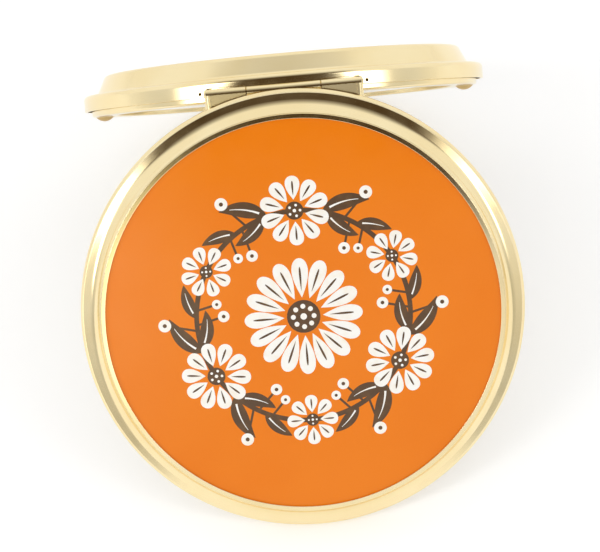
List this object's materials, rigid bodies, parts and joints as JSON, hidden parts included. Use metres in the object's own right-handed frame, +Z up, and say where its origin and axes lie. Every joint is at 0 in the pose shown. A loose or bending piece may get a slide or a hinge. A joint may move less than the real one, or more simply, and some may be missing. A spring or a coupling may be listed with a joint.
{
  "type": "compact mirror",
  "caption": "Round gilt pocket mirror with hinged halves, an enamelled lid, a mirror in each half and a push-button catch, standing open like a tent.",
  "frame": {"origin": "centre of the bounding box on the surface that the open mirror stands on", "axes": "+X along the hinge, +Y from the lid's side to the base's side, +Z up"},
  "size_m": [0.07, 0.098, 0.0533],
  "materials": {
    "gilt_brass": "polished pale gilt plating with fine handling marks",
    "plain_brass": "plain pressed brass, unpolished",
    "enamel": "glossy orange enamel with a printed white and brown flower design",
    "card": "grey-brown packing card",
    "felt": "brown packing felt",
    "silvered_glass": "silvered glass",
    "spring_steel": "drawn steel"
  },
  "bodies": {
    "base": {"base_shell": "gilt_brass", "mirror_pan": "plain_brass", "base_backing_felt": "felt", "base_mirror": "silvered_glass", "base_mirror_frame": "gilt_brass", "rest_pips": "gilt_brass", "base_hinge_leaf": "gilt_brass", "hinge_pin": "spring_steel", "catch_housing": "plain_brass", "catch_spring": "spring_steel"},
    "lid": {"lid_shell": "gilt_brass", "enamel_panel": "enamel", "lid_backing_card": "card", "lid_mirror": "silvered_glass", "lid_mirror_frame": "gilt_brass", "lid_hinge_leaf": "gilt_brass", "catch_strike": "plain_brass"},
    "catch": {"push_button": "gilt_brass", "catch_tongue": "plain_brass", "button_rivet": "plain_brass"}
  },
  "joints": [
    {"name": "lid_hinge", "type": "hinge", "parent": "base", "child": "lid", "pos_m": [0, 0.00002, 0.05147], "axis": [1, 0, 0], "range_deg": [0, 85]},
    {"name": "catch_slide", "type": "slide", "parent": "base", "child": "catch", "axis": [0, -0.6792, 0.7339], "range_m": [0, 0.00045], "stiffness_N_per_m": 1500, "springref_m": -0.0004, "deforming": ["catch_spring"]}
  ]
}
